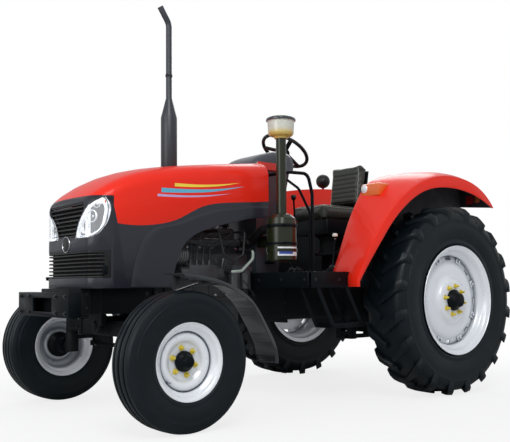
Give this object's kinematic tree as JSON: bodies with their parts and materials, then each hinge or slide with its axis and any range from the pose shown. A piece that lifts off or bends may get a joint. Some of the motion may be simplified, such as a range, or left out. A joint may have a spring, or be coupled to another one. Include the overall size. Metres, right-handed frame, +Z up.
{
  "type": "farm tractor",
  "caption": "Two-wheel-drive farm tractor with open platform, ribbed front tyres, lugged rear tyres, arched fenders and a three-point linkage.",
  "frame": {"origin": "on the ground under the middle of the whole tractor", "axes": "-Y forward, +X to the tractor's left, +Z up"},
  "size_m": [2.102, 3.81, 2.8096],
  "materials": {
    "tyre_rubber": "matt, moulded",
    "wheel_silver": "silver-white paint, semi-gloss",
    "hub_black": "black paint, semi-gloss",
    "chassis_black": "black paint, semi-gloss",
    "guard_black": "black, satin",
    "body_red": "orange-red, high gloss",
    "panel_grey": "charcoal, semi-gloss",
    "grille_black": "black, satin",
    "lamp_clear": "clear lens",
    "lamp_chrome": "bright reflector",
    "hose_pale": "pale hose and pipe",
    "cleaner_cream": "cream moulded bowl",
    "lamp_amber": "amber and white lamp",
    "bright_steel": "bright rod",
    "engine_grey": "dark painted castings",
    "exhaust_dark": "dark heat-proof paint",
    "filter_olive": "dark olive paint",
    "wheel_plastic": "black moulded",
    "seat_frame_black": "black paint",
    "seat_vinyl": "dark grey-olive vinyl"
  },
  "bodies": {
    "chassis": {"air_cleaner": "filter_olive", "axle_housings": "chassis_black", "bonnet": "body_red", "controls": "chassis_black", "dash": "panel_grey", "drawbar": "chassis_black", "engine": "engine_grey", "engine_hoses": "hose_pale", "exhaust": "exhaust_dark", "fender_lamps": "lamp_amber", "fender_left": "body_red", "fender_right": "body_red", "front_axle": "chassis_black", "front_bracket": "chassis_black", "front_support": "chassis_black", "handrail": "chassis_black", "headlamps": "lamp_clear", "injection_pump": "engine_grey", "intake_pipe": "grille_black", "lamp_bowls": "lamp_chrome", "lift_cover": "chassis_black", "lower_grille": "grille_black", "nose_panels": "panel_grey", "platform": "chassis_black", "precleaner": "cleaner_cream", "radiator": "grille_black", "seat_back": "seat_vinyl", "seat_cushion": "seat_vinyl", "seat_frame": "seat_frame_black", "steering_column": "chassis_black", "steering_cylinder": "chassis_black", "steps": "chassis_black", "transmission": "chassis_black", "upper_grille": "grille_black", "work_lamp": "grille_black"},
    "rear_wheel_left": {"rear_tyre_left": "tyre_rubber", "rear_rim_left": "wheel_silver", "rear_hub_left": "hub_black"},
    "front_wheel_left": {"front_tyre_left": "tyre_rubber", "front_rim_left": "wheel_silver", "front_hub_left": "hub_black"},
    "knuckle_left_body": {"knuckle_left": "chassis_black", "mudguard_left": "guard_black"},
    "lower_link_left_body": {"lower_link_left": "chassis_black"},
    "lift_rod_left_body": {"lift_rod_left": "chassis_black"},
    "rear_wheel_right": {"rear_tyre_right": "tyre_rubber", "rear_rim_right": "wheel_silver", "rear_hub_right": "hub_black"},
    "front_wheel_right": {"front_tyre_right": "tyre_rubber", "front_rim_right": "wheel_silver", "front_hub_right": "hub_black"},
    "knuckle_right_body": {"knuckle_right": "chassis_black", "mudguard_right": "guard_black"},
    "lower_link_right_body": {"lower_link_right": "chassis_black"},
    "lift_rod_right_body": {"lift_rod_right": "chassis_black"},
    "tie_rod_body": {"tie_rod": "chassis_black"},
    "steering_rod_body": {"steering_rod": "bright_steel"},
    "steering_wheel_body": {"steering_wheel": "wheel_plastic"},
    "lift_arms_body": {"lift_arms": "chassis_black"}
  },
  "joints": [
    {"name": "rear_wheel_left_spin", "type": "hinge", "parent": "chassis", "child": "rear_wheel_left", "pos_m": [0.871, 0.915, 0.712], "axis": [1, 0, 0], "continuous": true},
    {"name": "steer_left", "type": "hinge", "parent": "chassis", "child": "knuckle_left_body", "pos_m": [0.62, -1.419, 0.405], "axis": [0, 0, 1], "range_deg": [-38, 38]},
    {"name": "front_wheel_left_spin", "type": "hinge", "parent": "knuckle_left_body", "child": "front_wheel_left", "pos_m": [0.8325, -1.419, 0.405], "axis": [1, 0, 0], "continuous": true},
    {"name": "rear_wheel_right_spin", "type": "hinge", "parent": "chassis", "child": "rear_wheel_right", "pos_m": [-0.871, 0.915, 0.712], "axis": [1, 0, 0], "continuous": true},
    {"name": "steer_right", "type": "hinge", "parent": "chassis", "child": "knuckle_right_body", "pos_m": [-0.62, -1.419, 0.405], "axis": [0, 0, 1], "range_deg": [-38, 38]},
    {"name": "front_wheel_right_spin", "type": "hinge", "parent": "knuckle_right_body", "child": "front_wheel_right", "pos_m": [-0.8325, -1.419, 0.405], "axis": [1, 0, 0], "continuous": true},
    {"name": "tie_rod_swing", "type": "hinge", "parent": "knuckle_left_body", "child": "tie_rod_body", "pos_m": [0.62, -1.249, 0.42], "axis": [0, 0, 1], "range_deg": [-39, 39]},
    {"name": "steering_rod_slide", "type": "slide", "parent": "chassis", "child": "steering_rod_body", "axis": [1, 0, 0], "range_m": [-0.076, 0.076]},
    {"name": "steering_wheel_turn", "type": "hinge", "parent": "chassis", "child": "steering_wheel_body", "pos_m": [0, 0.096, 1.901], "axis": [0, 0.5592, 0.829], "range_deg": [-540, 540]},
    {"name": "lift_arms_swing", "type": "hinge", "parent": "chassis", "child": "lift_arms_body", "pos_m": [0, 1.075, 1.025], "axis": [1, 0, 0], "range_deg": [-21.1, 43.05]},
    {"name": "lower_link_left_swing", "type": "hinge", "parent": "chassis", "child": "lower_link_left_body", "pos_m": [0.262, 0.975, 0.47], "axis": [1, 0, 0], "range_deg": [-14.21, 27.96]},
    {"name": "lift_rod_left_swing", "type": "hinge", "parent": "lift_arms_body", "child": "lift_rod_left_body", "pos_m": [0.326, 1.395, 1.075], "axis": [1, 0, 0], "range_deg": [-38.26, 19.26]},
    {"name": "lower_link_right_swing", "type": "hinge", "parent": "chassis", "child": "lower_link_right_body", "pos_m": [-0.262, 0.975, 0.47], "axis": [1, 0, 0], "range_deg": [-14.21, 27.96]},
    {"name": "lift_rod_right_swing", "type": "hinge", "parent": "lift_arms_body", "child": "lift_rod_right_body", "pos_m": [-0.326, 1.395, 1.075], "axis": [1, 0, 0], "range_deg": [-38.26, 19.26]}
  ],
  "couplings": [
    {"joint": "steer_right", "follows": "steer_left", "ratio": 1},
    {"joint": "tie_rod_swing", "follows": "steer_left", "ratio": -1},
    {"joint": "steering_rod_slide", "follows": "steer_left", "m_per_rad": -0.11362},
    {"joint": "lower_link_left_swing", "follows": "lift_arms_swing", "ratio": 0.62631},
    {"joint": "lift_rod_left_swing", "follows": "lift_arms_swing", "ratio": -0.86541},
    {"joint": "lower_link_right_swing", "follows": "lift_arms_swing", "ratio": 0.62631},
    {"joint": "lift_rod_right_swing", "follows": "lift_arms_swing", "ratio": -0.86541}
  ]
}
